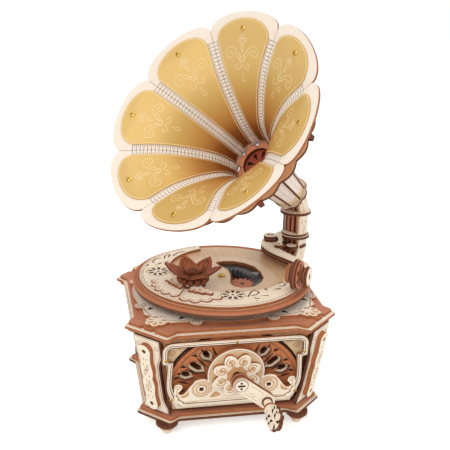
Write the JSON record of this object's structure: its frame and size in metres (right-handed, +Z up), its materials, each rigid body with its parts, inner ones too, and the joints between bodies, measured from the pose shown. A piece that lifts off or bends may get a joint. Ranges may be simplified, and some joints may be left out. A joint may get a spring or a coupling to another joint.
{
  "type": "disc music box",
  "caption": "Hand-cranked plywood music box shaped like a horn gramophone, with a turning record, gear train, swinging tonearm and flared petal horn.",
  "frame": {"origin": "middle of the bounding box on the floor", "axes": "+Z up, -Y to the front where the crank stands out, +X to the right"},
  "size_m": [0.2052, 0.2292, 0.3599],
  "materials": {
    "cream_ply": "pale basswood ply, laser cut",
    "brown_ply": "red-brown stained ply",
    "dark_ply": "dark stained ply",
    "red_ply": "red stained ply",
    "gold_card": "pale ply with a satin gold card face",
    "brass": "turned brass",
    "steel": "plain steel",
    "grey_plastic": "moulded grey plastic"
  },
  "bodies": {
    "case": {"foot_front_left": "dark_ply", "foot_front_right": "dark_ply", "foot_rear_left": "dark_ply", "foot_rear_right": "dark_ply", "base_plate": "cream_ply", "base_moulding": "brown_ply", "under_moulding": "brown_ply", "top_moulding": "cream_ply", "top_plate": "brown_ply", "front_wall": "cream_ply", "fan_fretwork": "brown_ply", "front_frame": "cream_ply", "scroll_panel": "cream_ply", "crank_rosette": "cream_ply", "rear_wall": "cream_ply", "left_wall": "cream_ply", "right_wall": "cream_ply", "pilaster_front_left": "cream_ply", "pilaster_front_right": "cream_ply", "pilaster_rear_left": "cream_ply", "pilaster_rear_right": "cream_ply", "gear_plate": "dark_ply", "movement_frame": "brown_ply", "spindle": "brass", "comb": "steel", "comb_block": "brass", "column": "brown_ply", "deck_ring": "cream_ply", "collar_low": "brown_ply", "collar_high": "brown_ply", "arm_bracket": "brown_ply", "petal_1": "gold_card", "petal_2": "gold_card", "petal_3": "gold_card", "petal_4": "gold_card", "petal_5": "gold_card", "petal_6": "gold_card", "petal_7": "gold_card", "petal_8": "gold_card", "horn_ring": "brown_ply", "throat_disc": "red_ply", "neck": "cream_ply", "neck_ring": "red_ply"},
    "turntable": {"ring_gear": "grey_plastic", "turntable_disc": "brown_ply", "record": "cream_ply", "crescent_plate": "cream_ply", "leaf_ornament": "cream_ply", "flower": "red_ply"},
    "drive": {"drive_sleeve": "brass"},
    "planet": {"planet_gear": "brown_ply"},
    "crank": {"crank_shaft": "brass", "crank_arm": "cream_ply", "crank_cap": "cream_ply", "handle_pin": "steel"},
    "drum": {"music_drum": "brass"},
    "grip": {"handle_grip": "cream_ply"},
    "arm": {"tonearm": "cream_ply", "soundbox": "brown_ply", "arm_knob": "red_ply"}
  },
  "joints": [
    {"name": "turntable_spin", "type": "hinge", "parent": "case", "child": "turntable", "pos_m": [-0.00276, 0.02745, 0.115], "axis": [0, 0, 1], "continuous": true},
    {"name": "drive_spin", "type": "hinge", "parent": "case", "child": "drive", "pos_m": [-0.00276, 0.02745, 0.09], "axis": [0, 0, 1], "continuous": true},
    {"name": "planet_spin", "type": "hinge", "parent": "case", "child": "planet", "pos_m": [0.01608, 0.0224, 0.111], "axis": [0, 0, 1], "continuous": true},
    {"name": "crank_turn", "type": "hinge", "parent": "case", "child": "crank", "pos_m": [-0.00276, -0.02255, 0.06], "axis": [0, 1, 0], "continuous": true},
    {"name": "drum_spin", "type": "hinge", "parent": "case", "child": "drum", "pos_m": [0.03071, 0.02745, 0.04977], "axis": [0, 1, 0], "continuous": true},
    {"name": "handle_spin", "type": "hinge", "parent": "crank", "child": "grip", "pos_m": [0.02044, -0.07755, 0.0424], "axis": [0, 1, 0], "continuous": true},
    {"name": "tonearm_swing", "type": "hinge", "parent": "case", "child": "arm", "pos_m": [0.05874, 0.08945, 0.128], "axis": [0, 0, 1], "range_deg": [0, 35]}
  ],
  "couplings": [
    {"joint": "drive_spin", "follows": "turntable_spin", "ratio": -4.2},
    {"joint": "planet_spin", "follows": "turntable_spin", "ratio": 2.625},
    {"joint": "crank_turn", "follows": "turntable_spin", "ratio": -8.4},
    {"joint": "drum_spin", "follows": "turntable_spin", "ratio": 6.3}
  ]
}
